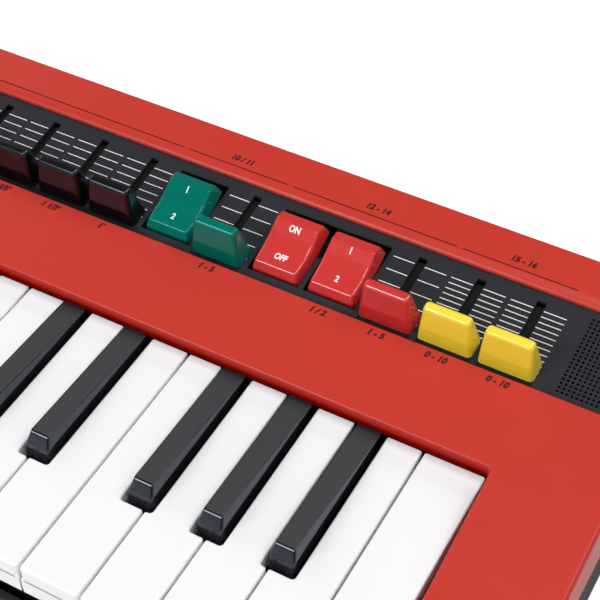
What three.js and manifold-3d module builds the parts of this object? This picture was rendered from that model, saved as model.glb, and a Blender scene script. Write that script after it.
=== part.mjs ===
// Compact combo organ: 37 small keys under a red moulded case with a sunk black strip of
// sliding tone levers, rocker switches and a speaker grille at each end.
// Millimetres, +X to the player's right, +Y to the rear, +Z up. The origin lies on the table
// under the middle of the organ.
import * as THREE from 'three';
import { mergeGeometries, mergeVertices } from 'three/addons/utils/BufferGeometryUtils.js';
import Module from 'manifold-3d';

const wasm = await Module();
wasm.setup();

// Whole organ
const footHeight = 2.6;
const seamHeight = 22; // where the dark base meets the red top case
const whiteKeyTop = 36.5; // playing surface over the table
const cheekWidth = 35.7; // the case beside the keys
const cheekRise = 1.5; // level front of the cheeks over the white keys
const cornerRadius = 9;
const seamGap = 0.3; // between pieces that touch
const cutOverrun = 6; // how far a cutter runs past what it cuts
const mouldedWall = 2.4;

// Keyboard, from C to C
const keyPitch = 20.7;
const whiteKeyCount = 22;
const whiteGap = 1.1;
const whiteLength = 91; // the part in front of the case
const whiteFrontSetback = 1.5; // behind the front of the base
const whiteTailLength = 50; // hidden under the deck
const whitePlate = 6;
const whiteEdgeRound = 0.5;
const skirtHeight = 12;
const skirtThickness = 3;
const keyDip = 6.45; // at the front
const tailDrop = 2.5; // tails lie lower than the playing surface
const blackBaseHalfWidth = 4.1;
const blackSideLean = 0.85; // from the rear height up to the top height
const blackSideClearance = 1.4;
const blackTopHeight = 6.1; // at the front, over the white keys
const blackRearHeight = 2.4; // where it goes under the case
const blackBaseLength = 55.3;
const blackFrontLean = 3.2;
const blackFrontClearance = 1.8;
const blackFrontRound = 0.8;
const blackStepBack = 1; // behind the keyboard's rear edge, where its top ends
// Pairs and threes of black keys are spread from the white key seams
const pairSpread = 1.5;
const threeSpread = 3;
const bayClearance = 1.6;

// Sloping deck and the strip sunk in it. Along the deck, places are measured up the slope from
// the keyboard's rear edge; over the deck, from the strip's own surface.
const deckSlope = THREE.MathUtils.degToRad(9);
const stripRise = 6.26; // strip plane over the white keys, at the keyboard's rear edge
const stripDepth = 2.5; // how far the strip is sunk in the deck
const stripFront = 29.3;
const stripRearRun = 5; // the strip's rear wall rolls back to the deck
const stripEndBorder = 5;
const rearDeckDepth = 13.93;
const panelThickness = 2;
const panelMargin = 3; // hidden under the deck on each side
const panelSideClearance = 0.6;
const edgeRound = 1.6;
const lipClearance = 2.1; // over the black keys
const lipOverhang = 2.3;
const lipDepth = 4.2;
const deckEdgeOverhang = 1;

// Slots and levers
const slotPitchLead = 0.17; // the slots stand a little closer than the keys
const lastSlotInset = 9.1; // last slot from the keyboard's right end
const firstSlotInset = 15.15; // first slot from its left end
const slotFrontMargin = 5.3; // from the strip's front edge
const slotRearMargin = 3.4;
const slotFrontClearance = 0.4;
const slotRearClearance = 1.3;
const slotSideClearance = 0.4;
const leverTravel = 20.5;
const leverClearance = 0.3;
const capSpacing = 1.93; // between neighbouring caps
const capDepth = 8.8;
const capForward = 0.5; // middle of the cap's foot ahead of its place
const capHeight = 13.9;
const capSideLean = 1.5;
const capRidgeDepth = 3.4;
const capRearRun = 3.25; // from the ridge back to the cap's foot
const capRidgeRound = 1.2;
const capCreaseHeightShare = 0.42; // where the front bends
const capCreaseRunShare = 0.3;
const stemWidth = 2.3;
const stemLength = 4.4;
const stemReach = 6.5; // below the strip's surface
const stemForward = 1.8; // ahead of the cap's middle
const footageCount = 9;
const leftControlCount = 4;

// Rocker switches
const rockerForward = 1.8; // pivot ahead of the slots' middle
const rockerPivotRise = 0.45; // over the strip
const rockerTilt = THREE.MathUtils.degToRad(15.5);
const rockerBaseHalfLength = 12;
const rockerEndLean = 0.6;
const rockerTopHeight = 5.35;
const rockerDish = 2.17; // how far the middle lies below the ends
const rockerValleyHalfLength = 1.5;
const rockerBaseDrop = 2.5;
const rockerSpacing = 3.33;
const rockerSideLean = 0.9;
const rockerEndRound = 3;
const rockerFrontClearance = 0.65;
const rockerRearClearance = 2.5;
const rockerSideClearance = 0.4;

// Rotary selector
const knobRadius = 8.2;
const knobSkirtWidth = 1.6;
const knobSkirtHeight = 2.4;
const knobHeight = 11;
const knobEdge = 0.8;
const knobShaftRadius = 3;
const knobShaftClearance = 0.4;
const knobShaftReach = 6.5;
const pointerWidth = 1.8;
const pointerHeight = 0.8;
const roundFacets = 24;

// Speaker grilles
const grilleInset = 7.75; // first column beyond the keyboard's end
const grilleSideMargin = 7.2;
const grilleRearMargin = 3.1;
const grilleFrontMargin = 3.5;
const grilleHoleSide = 1.9;
const grilleWeb = 1.265; // between holes

// Dark base
const baseFloor = 2.4;
const baseEdgeRound = 1.6;
const frontWallClearance = 1.05; // under a pressed key's skirt
const railClearance = 0.55; // under a pressed key's plate
const railThickness = 2.5;
const railGap = 1.5;
const keySeatLength = 9;
const keySeatWall = 2;
const footRadius = 8;
const footInset = 26;
const footSink = 1; // a foot's root inside the base
const speakerSideClearance = 2.45;
const speakerTopClearance = 1;
const speakerPlace = 47; // behind the keyboard's rear edge
const coneDepth = 7;
const coneInnerRadius = 4;
const coneLipWidth = 1.5;
const jackBayWidth = 250;
const jackBayHeight = 13;
const jackBayDepth = 1.6;
const jackBlockDepth = 7;
const jackHoleDepth = 3.4;
const plugSocketRadius = 3.3;
const smallSocketRadius = 1.9;
const dataSocketRadius = 4.4;
const powerInletRadius = 2.8;
const jackFacets = 10;

// Worked out from the sizes above
const keyboardWidth = keyPitch * whiteKeyCount;
const bayHalfWidth = keyboardWidth / 2 + bayClearance;
const bodyWidth = 2 * (bayHalfWidth + cheekWidth);
const slotPitch = keyPitch - slotPitchLead;
const capWidth = slotPitch - capSpacing;
const slotWidth = stemWidth + 2 * slotSideClearance;
const slotFront = stripFront + slotFrontMargin;
const leverRest = slotFront + slotFrontClearance + stemForward;
const slotRear = leverRest + leverTravel + stemLength - stemForward + slotRearClearance;
const slotMiddle = (slotFront + slotRear) / 2;
const lastSlotX = keyboardWidth / 2 - lastSlotInset;
const stripRear = slotRear + slotRearMargin;
const deckDepth = (stripRear + stripRearRun + rearDeckDepth) * Math.cos(deckSlope);
const bodyDepth = whiteFrontSetback + whiteLength + deckDepth;
const frontY = -bodyDepth / 2;
const keyFrontY = frontY + whiteFrontSetback;
const keyLineY = keyFrontY + whiteLength;
const deckTangent = Math.tan(deckSlope);
const deckTopAtKeys = whiteKeyTop + stripRise + stripDepth / Math.cos(deckSlope);
const deckThickness = stripDepth - seamGap;
const keyTailEndY = keyLineY + whiteTailLength;
const plateBottom = whiteKeyTop - whitePlate;
const skirtBottom = whiteKeyTop - skirtHeight;
const tailTop = whiteKeyTop - tailDrop;
const tailBottom = plateBottom - tailDrop;
const blackTopLength = blackBaseLength - blackFrontLean;
const blackNotchLength = blackBaseLength + blackFrontClearance;
const blackNotchHalfWidth = blackBaseHalfWidth + blackSideClearance;
const lipHeight = blackRearHeight + lipClearance;
const rockerPivotPlace = slotMiddle - rockerForward;
const rockerBaseWidth = slotPitch - rockerSpacing;
const rockerOpeningWidth = rockerBaseWidth + 2 * rockerSideClearance;
const rockerOpeningFront = rockerPivotPlace - rockerBaseHalfLength - rockerFrontClearance;
const rockerOpeningRear = rockerPivotPlace + rockerBaseHalfLength + rockerRearClearance;
const grilleHolePitch = grilleHoleSide + grilleWeb;
const grilleColumnRoom = cheekWidth + bayClearance - grilleInset - grilleSideMargin;
const grilleColumns = 1 + Math.floor(grilleColumnRoom / grilleHolePitch);
const grilleRear = stripRear - grilleRearMargin;
const grilleRows = 1
  + Math.floor((grilleRear - stripFront - grilleFrontMargin) / grilleHolePitch);
const frontWallTop = skirtBottom - keyDip - frontWallClearance;
const railTop = plateBottom - keyDip - railClearance;
const speakerRadius = cheekWidth / 2 - mouldedWall - speakerSideClearance;
const speakerTop = whiteKeyTop + stripRise + (speakerPlace - speakerRadius) * deckTangent
  - panelThickness / Math.cos(deckSlope) - speakerTopClearance;

const finish = (color, roughness, metalness = 0) =>
  new THREE.MeshStandardMaterial({ color, roughness, metalness });
const redShell = () => finish(0xc83b31, 0.38);
const blackStrip = () => finish(0x36373b, 0.55);
const darkBase = () => finish(0x232427, 0.6);
const ivoryKey = () => finish(0xf1f1f4, 0.22);
const ebonyKey = () => finish(0x45474b, 0.4);
const blackCap = () => finish(0x17181c, 0.16);
const greenCap = () => finish(0x007a66, 0.18);
const redCap = () => finish(0xcc3a35, 0.16);
const yellowCap = () => finish(0xe8c030, 0.18);

// A closed three.js geometry as a solid that can be joined and cut, and back again
function solidOf(geometry) {
  const bare = geometry.clone();
  bare.deleteAttribute('normal');
  bare.deleteAttribute('uv');
  const merged = mergeVertices(bare);
  return new wasm.Manifold(new wasm.Mesh({
    numProp: 3,
    vertProperties: new Float32Array(merged.attributes.position.array),
    triVerts: new Uint32Array(merged.index.array),
  }));
}

function geometryOf(solid) {
  const result = solid.getMesh();
  const geometry = new THREE.BufferGeometry();
  geometry.setAttribute('position', new THREE.BufferAttribute(result.vertProperties, 3));
  geometry.setIndex(new THREE.BufferAttribute(result.triVerts, 1));
  geometry.computeVertexNormals();
  return geometry;
}

function block(x0, x1, y0, y1, z0, z1) {
  const geometry = new THREE.BoxGeometry(x1 - x0, y1 - y0, z1 - z0);
  return geometry.translate((x0 + x1) / 2, (y0 + y1) / 2, (z0 + z1) / 2);
}

// A side outline of (y, z) points, swept across x from -width / 2 to width / 2
function sweptAcross(points, width) {
  const outline = new THREE.Shape(points.map(([y, z]) => new THREE.Vector2(y, z)));
  const geometry = new THREE.ExtrudeGeometry(outline, { depth: width, bevelEnabled: false });
  const turn = new THREE.Matrix4().set(0, 0, 1, -width / 2, 1, 0, 0, 0, 0, 1, 0, 0, 0, 0, 0, 1);
  return geometry.applyMatrix4(turn);
}

// Points on a quarter of an ellipse between two corner points, bulging to the third
function roll(from, to, bulge, steps) {
  const points = [];
  for (let step = 0; step <= steps; step += 1) {
    const angle = (Math.PI / 2) * (step / steps);
    const a = 1 - Math.sin(angle);
    const b = 1 - Math.cos(angle);
    points.push([0, 1].map((axis) =>
      bulge[axis] + a * (from[axis] - bulge[axis]) + b * (to[axis] - bulge[axis])));
  }
  return points;
}

function roundedOutline(width, depth, radius) {
  const halfWidth = width / 2;
  const halfDepth = depth / 2;
  const outline = new THREE.Shape();
  outline.absarc(halfWidth - radius, halfDepth - radius, radius, 0, Math.PI / 2);
  outline.absarc(radius - halfWidth, halfDepth - radius, radius, Math.PI / 2, Math.PI);
  outline.absarc(radius - halfWidth, radius - halfDepth, radius, Math.PI, Math.PI * 1.5);
  outline.absarc(halfWidth - radius, radius - halfDepth, radius, Math.PI * 1.5, Math.PI * 2);
  outline.closePath();
  return outline;
}

// The outline raised from z0 to z1 with its edges rounded by round
function raised(outline, z0, z1, round, cornerSteps) {
  const geometry = new THREE.ExtrudeGeometry(outline, {
    depth: z1 - z0 - 2 * round,
    bevelEnabled: round > 0,
    bevelThickness: round,
    bevelSize: round,
    bevelOffset: -round,
    bevelSegments: 2,
    curveSegments: cornerSteps,
  });
  return geometry.translate(0, 0, z0 + round);
}

// Tips a level solid to the deck's slope and keeps its walls upright
function sheared(geometry) {
  const shear = new THREE.Matrix4().makeShear(0, 0, 0, deckTangent, 0, 0);
  return geometry.translate(0, -keyLineY, 0).applyMatrix4(shear).translate(0, keyLineY, 0);
}

// Moves geometry made in the deck's own frame to the organ's frame
function onDeck(geometry) {
  return geometry.rotateX(deckSlope).translate(0, keyLineY, whiteKeyTop + stripRise);
}

function named(name, geometry, material) {
  const mesh = new THREE.Mesh(geometry, material);
  mesh.name = name;
  return mesh;
}

// Red moulded case: a thin shell with cheeks beside the keys, a lip over them and the sunk strip
function topCase() {
  const low = footHeight;
  const outline = roundedOutline(bodyWidth, bodyDepth, cornerRadius);
  const slope = sheared(raised(outline, -bodyDepth, deckTopAtKeys, edgeRound, 5));
  const levelTop = whiteKeyTop + cheekRise;
  const level = raised(outline, -bodyDepth, levelTop, edgeRound, 5);
  const slab = solidOf(slope).add(solidOf(level));
  const innerOutline = roundedOutline(
    bodyWidth - 2 * mouldedWall, bodyDepth - 2 * mouldedWall, cornerRadius - mouldedWall);
  const innerTop = deckTopAtKeys - deckThickness / Math.cos(deckSlope);
  const slopeCore = sheared(raised(innerOutline, -bodyDepth, innerTop, 0, 3));
  const levelCore = raised(innerOutline, -bodyDepth, levelTop - deckThickness, 0, 3);
  const core = solidOf(slopeCore).add(solidOf(levelCore));
  const lipRearY = keyLineY - lipOverhang + lipDepth;
  const bayWalls = block(-bayHalfWidth - mouldedWall, bayHalfWidth + mouldedWall,
    frontY - cutOverrun, lipRearY, -bodyDepth, bodyDepth);

  const lipY = keyLineY - lipOverhang;
  const lipZ = whiteKeyTop + lipHeight;
  const edgeY = keyLineY - deckEdgeOverhang;
  const edgeZ = deckTopAtKeys - deckEdgeOverhang * deckTangent;
  const bay = sweptAcross([
    [frontY - cutOverrun, low],
    [lipRearY + cutOverrun, low],
    [lipRearY + cutOverrun, lipZ - edgeRound],
    [lipRearY, lipZ],
    ...roll([lipY, lipZ], [edgeY, edgeZ], [lipY, edgeZ], 4),
    [edgeY, edgeZ + bodyDepth],
    [frontY - cutOverrun, edgeZ + bodyDepth],
  ], 2 * bayHalfWidth);

  const wallTop = stripRear + stripRearRun;
  const stripCut = onDeck(sweptAcross([
    [stripFront, -cutOverrun],
    [stripRear, -cutOverrun],
    ...roll([stripRear, seamGap], [wallTop, stripDepth], [stripRear, stripDepth], 4),
    [wallTop, stripDepth + cutOverrun],
    [stripFront, stripDepth + cutOverrun],
  ], bodyWidth - 2 * stripEndBorder));

  const below = block(-bodyWidth, bodyWidth, -bodyDepth, bodyDepth,
    -2 * bodyDepth, seamHeight + seamGap);
  const hollow = core.subtract(solidOf(bayWalls));
  const shell = slab.subtract(hollow).subtract(solidOf(bay))
    .subtract(solidOf(stripCut)).subtract(solidOf(below));
  return named('top_case', geometryOf(shell), redShell());
}

// A cutter for an upright opening in the strip plate, centred at x and y
function openingCutter(x, y, width, length) {
  return block(x - width / 2, x + width / 2, y - length / 2, y + length / 2,
    -panelThickness - cutOverrun, cutOverrun);
}

// Black strip plate with the lever slots, the rocker openings and both grilles
function controlPanel(leverPlaces, rockerPlaces, knobX) {
  const halfWidth = bodyWidth / 2 - mouldedWall - panelSideClearance;
  const plate = block(-halfWidth, halfWidth, stripFront - panelMargin,
    stripRear + stripRearRun + panelMargin, -panelThickness, 0);
  const cutters = leverPlaces.map((x) =>
    openingCutter(x, slotMiddle, slotWidth, slotRear - slotFront));
  const openingMiddle = (rockerOpeningFront + rockerOpeningRear) / 2;
  const openingLength = rockerOpeningRear - rockerOpeningFront;
  const [single, first, second] = rockerPlaces;
  cutters.push(openingCutter(single, openingMiddle, rockerOpeningWidth, openingLength));
  cutters.push(openingCutter((first + second) / 2, openingMiddle,
    second - first + rockerOpeningWidth, openingLength));
  for (const side of [-1, 1]) {
    for (let column = 0; column < grilleColumns; column += 1) {
      for (let row = 0; row < grilleRows; row += 1) {
        const x = side * (keyboardWidth / 2 + grilleInset + column * grilleHolePitch);
        cutters.push(openingCutter(x, grilleRear - row * grilleHolePitch,
          grilleHoleSide, grilleHoleSide));
      }
    }
  }
  const boreRadius = knobShaftRadius + knobShaftClearance;
  const bore = disc(boreRadius, -panelThickness - cutOverrun, cutOverrun, roundFacets)
    .translate(knobX, slotMiddle, 0);
  const pierced = solidOf(plate).subtract(solidOf(mergeGeometries(cutters)))
    .subtract(solidOf(bore));
  return named('control_panel', geometryOf(pierced), blackStrip());
}

// Lever cap: a wedge with a bent front, a rounded ridge and sides that lean in, on a flat stem
function leverCap() {
  const front = -capDepth / 2 - capForward;
  const rear = front + capDepth;
  const ridgeRear = rear - capRearRun;
  const ridgeFront = ridgeRear - capRidgeDepth;
  const top = capHeight;
  const shoulder = top - capRidgeRound;
  const creaseY = front + (ridgeFront - front) * capCreaseRunShare;
  const creaseZ = top * capCreaseHeightShare;
  const rearSlant = capRearRun / (top - leverClearance);
  const frontSlant = (ridgeFront - creaseY) / (top - creaseZ);
  const wedge = sweptAcross([
    [front, leverClearance],
    [rear, leverClearance],
    ...roll([ridgeRear + rearSlant * capRidgeRound, shoulder],
      [ridgeRear - capRidgeRound, top], [ridgeRear, top], 2),
    ...roll([ridgeFront + capRidgeRound, top],
      [ridgeFront - frontSlant * capRidgeRound, shoulder], [ridgeFront, top], 2),
    [creaseY, creaseZ],
  ], capWidth);
  const lean = 2 * capSideLean / capWidth;
  const places = wedge.attributes.position;
  for (let index = 0; index < places.count; index += 1) {
    const rise = (places.getZ(index) - leverClearance) / (top - leverClearance);
    places.setX(index, places.getX(index) * (1 - lean * rise));
  }
  const stem = block(-stemWidth / 2, stemWidth / 2, -stemForward, stemLength - stemForward,
    -stemReach, leverClearance + stemWidth);
  return geometryOf(solidOf(wedge).add(solidOf(stem)));
}

function lever(name, x, material) {
  const mesh = named(name, leverCap(), material);
  mesh.position.set(x, leverRest, 0);
  return mesh;
}

// Rocker paddle: both halves rise from a shallow valley, and all four sides lean in
function rockerPaddle() {
  const top = rockerTopHeight;
  const topHalfLength = rockerBaseHalfLength - rockerEndLean;
  const valley = top - rockerDish;
  const dishSlope = rockerDish / (topHalfLength - rockerValleyHalfLength);
  const endSlant = rockerEndLean / (top + rockerBaseDrop);
  const low = [topHalfLength + endSlant * rockerEndRound, top - rockerEndRound];
  const high = [topHalfLength - rockerEndRound, top - dishSlope * rockerEndRound];
  const outline = [
    [-rockerBaseHalfLength, -rockerBaseDrop],
    [rockerBaseHalfLength, -rockerBaseDrop],
    ...roll(low, high, [topHalfLength, top], 3),
    [rockerValleyHalfLength, valley],
    [-rockerValleyHalfLength, valley],
    ...roll([-high[0], high[1]], [-low[0], low[1]], [-topHalfLength, top], 3),
  ];
  const paddle = sweptAcross(outline, rockerBaseWidth);
  const lean = 2 * rockerSideLean / rockerBaseWidth;
  const places = paddle.attributes.position;
  for (let index = 0; index < places.count; index += 1) {
    const rise = (places.getZ(index) + rockerBaseDrop) / (top + rockerBaseDrop);
    places.setX(index, places.getX(index) * (1 - lean * rise));
  }
  return geometryOf(solidOf(paddle));
}

function rocker(name, x, material) {
  const mesh = named(name, rockerPaddle(), material);
  mesh.position.set(x, rockerPivotPlace, rockerPivotRise);
  mesh.rotation.x = rockerTilt;
  return mesh;
}

// Rotary selector with a skirt, a domed grip, a raised pointer and its shaft
function selectorKnob(x) {
  const topRadius = knobRadius - knobSkirtWidth;
  const profile = [
    [0, -knobShaftReach], [knobShaftRadius, -knobShaftReach], [knobShaftRadius, leverClearance],
    [knobRadius, leverClearance], [knobRadius, knobSkirtHeight],
    [topRadius + knobEdge, knobSkirtHeight + knobEdge],
    [topRadius, knobHeight - knobEdge], [topRadius - knobEdge, knobHeight], [0, knobHeight],
  ].map(([radius, height]) => new THREE.Vector2(radius, height));
  const body = new THREE.LatheGeometry(profile, roundFacets).rotateX(Math.PI / 2);
  const pointer = block(-pointerWidth / 2, pointerWidth / 2, 0, topRadius - knobEdge,
    knobHeight - pointerHeight, knobHeight + pointerHeight);
  const mesh = named('wave_selector_knob', geometryOf(solidOf(body).add(solidOf(pointer))),
    blackCap());
  mesh.position.set(x, slotMiddle, 0);
  return mesh;
}

// Controls to the right of the footage levers, in order
const controlRow = [
  ['vibrato_rocker', rocker, greenCap],
  ['vibrato_depth_lever', lever, greenCap],
  ['percussion_rocker', rocker, redCap],
  ['percussion_type_rocker', rocker, redCap],
  ['percussion_length_lever', lever, redCap],
  ['drive_lever', lever, yellowCap],
  ['reverb_lever', lever, yellowCap],
];

// Centre of a control in that row; the footage levers have places below zero
const slotX = (place) => lastSlotX + (place - controlRow.length + 1) * slotPitch;

// The notes of an octave: which white seams carry a black key, and how far it leans off the seam
const blackOffsets = new Map([
  [0, -pairSpread], [1, pairSpread], [3, -threeSpread], [4, 0], [5, threeSpread],
]);
const whiteNames = ['c', 'd', 'e', 'f', 'g', 'a', 'b'];
const seamX = (index) => -keyboardWidth / 2 + (index + 1) * keyPitch;
const blackAfter = (index) =>
  (index >= 0 && index < whiteKeyCount - 1 ? blackOffsets.get(index % whiteNames.length) : undefined);

// White key: its plan with the black keys' notches, cut to its side outline
function whiteKey(index) {
  const left = seamX(index - 1) + whiteGap / 2;
  const right = seamX(index) - whiteGap / 2;
  const notchY = keyLineY - blackNotchLength;
  const leftOffset = blackAfter(index - 1);
  const rightOffset = blackAfter(index);
  const tailLeft = leftOffset === undefined
    ? left : seamX(index - 1) + leftOffset + blackNotchHalfWidth;
  const tailRight = rightOffset === undefined
    ? right : seamX(index) + rightOffset - blackNotchHalfWidth;
  const plan = new THREE.Shape();
  plan.moveTo(left, keyFrontY);
  plan.lineTo(right, keyFrontY);
  plan.lineTo(right, notchY);
  plan.lineTo(tailRight, notchY);
  plan.lineTo(tailRight, keyTailEndY);
  plan.lineTo(tailLeft, keyTailEndY);
  plan.lineTo(tailLeft, notchY);
  plan.lineTo(left, notchY);
  plan.closePath();
  const upright = raised(plan, whiteKeyTop - bodyDepth, whiteKeyTop, whiteEdgeRound, 1);
  const side = sweptAcross([
    [keyFrontY - cutOverrun, skirtBottom],
    [keyFrontY + skirtThickness, skirtBottom],
    [keyFrontY + skirtThickness, plateBottom],
    [keyLineY - tailDrop, plateBottom],
    [keyLineY, tailBottom],
    [keyTailEndY + cutOverrun, tailBottom],
    [keyTailEndY + cutOverrun, tailTop],
    [keyLineY, tailTop],
    [keyLineY, whiteKeyTop + cutOverrun],
    [keyFrontY - cutOverrun, whiteKeyTop + cutOverrun],
  ], bodyWidth);
  const number = String(index + 1).padStart(2, '0');
  const name = `white_key_${number}_${whiteNames[index % whiteNames.length]}`;
  return named(name, geometryOf(solidOf(upright).intersect(solidOf(side))), ivoryKey());
}

// Black key: a top that rises to the front, sides that lean in over the rear height and a
// sloping front face
function blackKey(index, order) {
  const x = seamX(index) + blackAfter(index);
  const side = sweptAcross([
    [keyLineY - blackBaseLength, plateBottom],
    [keyLineY - tailDrop, plateBottom],
    [keyLineY, tailBottom],
    [keyTailEndY, tailBottom],
    [keyTailEndY, tailTop],
    [keyLineY + blackStepBack, tailTop],
    [keyLineY + blackStepBack, whiteKeyTop + blackRearHeight],
    ...roll([keyLineY - blackTopLength + blackFrontRound, whiteKeyTop + blackTopHeight],
      [keyLineY - blackTopLength - blackFrontRound / 2,
        whiteKeyTop + blackTopHeight - blackFrontRound],
      [keyLineY - blackTopLength, whiteKeyTop + blackTopHeight], 2),
    [keyLineY - blackBaseLength, whiteKeyTop],
  ], 2 * blackBaseHalfWidth);
  const low = whiteKeyTop - bodyDepth;
  const shoulder = whiteKeyTop + blackRearHeight;
  const lean = blackSideLean / (blackTopHeight - blackRearHeight);
  const crest = whiteKeyTop + blackTopHeight + cutOverrun;
  const crestHalfWidth = blackBaseHalfWidth - lean * (crest - shoulder);
  const section = new THREE.Shape([
    new THREE.Vector2(-blackBaseHalfWidth, low),
    new THREE.Vector2(blackBaseHalfWidth, low),
    new THREE.Vector2(blackBaseHalfWidth, shoulder),
    new THREE.Vector2(crestHalfWidth, crest),
    new THREE.Vector2(-crestHalfWidth, crest),
    new THREE.Vector2(-blackBaseHalfWidth, shoulder),
  ]);
  const across = new THREE.ExtrudeGeometry(section, { depth: 2 * bodyDepth, bevelEnabled: false })
    .translate(0, 0, -bodyDepth).rotateX(Math.PI / 2);
  const body = solidOf(side).intersect(solidOf(across));
  const number = String(order).padStart(2, '0');
  const name = `black_key_${number}_${whiteNames[index % whiteNames.length]}_sharp`;
  const mesh = named(name, geometryOf(body), ebonyKey());
  mesh.position.x = x;
  return mesh;
}

function disc(radius, z0, z1, facets) {
  const profile = [[0, z0], [radius, z0], [radius, z1], [0, z1]]
    .map(([across, up]) => new THREE.Vector2(across, up));
  return new THREE.LatheGeometry(profile, facets).rotateX(Math.PI / 2);
}

// Speaker under a grille: a round box with a cone sunk in its top
function speaker(floorTop) {
  const profile = [
    [0, floorTop], [speakerRadius, floorTop], [speakerRadius, speakerTop],
    [speakerRadius - coneLipWidth, speakerTop], [coneInnerRadius, speakerTop - coneDepth],
    [0, speakerTop - coneDepth + coneLipWidth],
  ].map(([radius, height]) => new THREE.Vector2(radius, height));
  return new THREE.LatheGeometry(profile, roundFacets).rotateX(Math.PI / 2);
}

// Dark base: a tray on rubber feet with the front rail, the keys' seat, the speakers and the
// rear sockets
function bottomCase() {
  const floorTop = footHeight + baseFloor;
  const outline = roundedOutline(bodyWidth, bodyDepth, cornerRadius);
  const innerOutline = roundedOutline(
    bodyWidth - 2 * mouldedWall, bodyDepth - 2 * mouldedWall, cornerRadius - mouldedWall);
  const tub = raised(outline, footHeight, seamHeight + 2 * baseEdgeRound, baseEdgeRound, 4);
  const core = raised(innerOutline, floorTop, seamHeight + bodyDepth, 0, 3);
  const trim = block(-bodyWidth, bodyWidth, -bodyDepth, bodyDepth, seamHeight, bodyDepth);
  const frontNotch = block(-bayHalfWidth, bayHalfWidth, frontY - cutOverrun,
    frontY + 2 * mouldedWall, frontWallTop, bodyDepth);
  let base = solidOf(tub).subtract(solidOf(core)).subtract(solidOf(trim))
    .subtract(solidOf(frontNotch));

  const railFront = keyFrontY + skirtThickness + railGap;
  const railHalfWidth = bayHalfWidth - bayClearance;
  base = base.add(solidOf(block(-railHalfWidth, railHalfWidth, railFront,
    railFront + railThickness, floorTop - footSink, railTop)));

  const seatTop = tailBottom - seamGap;
  const seatRear = keyTailEndY;
  const seatFront = seatRear - keySeatLength;
  const seat = sweptAcross([
    [seatFront, floorTop - footSink], [seatFront + keySeatWall, floorTop - footSink],
    [seatFront + keySeatWall, seatTop - keySeatWall],
    [seatRear - keySeatWall, seatTop - keySeatWall],
    [seatRear - keySeatWall, floorTop - footSink], [seatRear, floorTop - footSink],
    [seatRear, seatTop], [seatFront, seatTop],
  ], 2 * railHalfWidth);
  base = base.add(solidOf(seat));

  const speakerX = bayHalfWidth + (bodyWidth / 2 - bayHalfWidth) / 2;
  const footX = bodyWidth / 2 - footInset;
  const footY = bodyDepth / 2 - footInset;
  for (const side of [-1, 1]) {
    base = base.add(solidOf(speaker(floorTop - footSink)
      .translate(side * speakerX, keyLineY + speakerPlace, 0)));
    for (const end of [-1, 1]) {
      base = base.add(solidOf(disc(footRadius, 0, footHeight + footSink, roundFacets / 2)
        .translate(side * footX, end * footY, 0)));
    }
  }

  const rearY = bodyDepth / 2;
  const bayMiddle = (floorTop + seamHeight) / 2;
  const bayLow = bayMiddle - jackBayHeight / 2;
  const bayHigh = bayMiddle + jackBayHeight / 2;
  base = base.add(solidOf(block(-jackBayWidth / 2 - mouldedWall, jackBayWidth / 2 + mouldedWall,
    rearY - jackBlockDepth, rearY - mouldedWall / 2, floorTop - footSink, seamHeight - seamGap)));
  base = base.subtract(solidOf(block(-jackBayWidth / 2, jackBayWidth / 2,
    rearY - jackBayDepth, rearY + cutOverrun, bayLow, bayHigh)));
  const sockets = [
    plugSocketRadius, plugSocketRadius, plugSocketRadius, plugSocketRadius,
    smallSocketRadius, dataSocketRadius, powerInletRadius, plugSocketRadius,
  ];
  sockets.forEach((radius, order) => {
    const x = jackBayWidth * ((order + 0.5) / sockets.length - 0.5);
    const hole = disc(radius, 0, jackHoleDepth + cutOverrun, jackFacets).rotateX(-Math.PI / 2)
      .translate(x, rearY - jackBayDepth - jackHoleDepth, bayMiddle);
    base = base.subtract(solidOf(hole));
  });
  return named('bottom_case', geometryOf(base), darkBase());
}

const organ = new THREE.Group();
organ.add(topCase(), bottomCase());

// Everything that sits on the strip is placed in the deck's sloping frame
const deck = new THREE.Group();
deck.position.set(0, keyLineY, whiteKeyTop + stripRise);
deck.rotation.x = deckSlope;
organ.add(deck);

const firstFootageX = slotX(-footageCount);
for (let order = 0; order < footageCount; order += 1) {
  deck.add(lever(`footage_lever_${order + 1}`, firstFootageX + order * slotPitch, blackCap()));
}
controlRow.forEach(([name, make, material], place) => {
  deck.add(make(name, slotX(place), material()));
});

const octaveX = firstSlotInset - keyboardWidth / 2;
const leftControlPitch = (firstFootageX - octaveX) / leftControlCount;
const volumeX = octaveX + leftControlPitch;
const knobX = volumeX + leftControlPitch;
const rotaryX = knobX + leftControlPitch;
deck.add(lever('rotary_speaker_lever', rotaryX, blackCap()));
deck.add(selectorKnob(knobX));
deck.add(lever('volume_lever', volumeX, blackCap()));
deck.add(lever('octave_lever', octaveX, blackCap()));

const placesOf = (kind) => deck.children.filter((mesh) => mesh.name.includes(kind))
  .map((mesh) => mesh.position.x);
deck.add(controlPanel(placesOf('lever'), placesOf('rocker'), knobX));

let blackOrder = 0;
for (let index = 0; index < whiteKeyCount; index += 1) {
  organ.add(whiteKey(index));
  if (blackAfter(index) !== undefined) {
    blackOrder += 1;
    organ.add(blackKey(index, blackOrder));
  }
}

export default organ;
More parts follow.
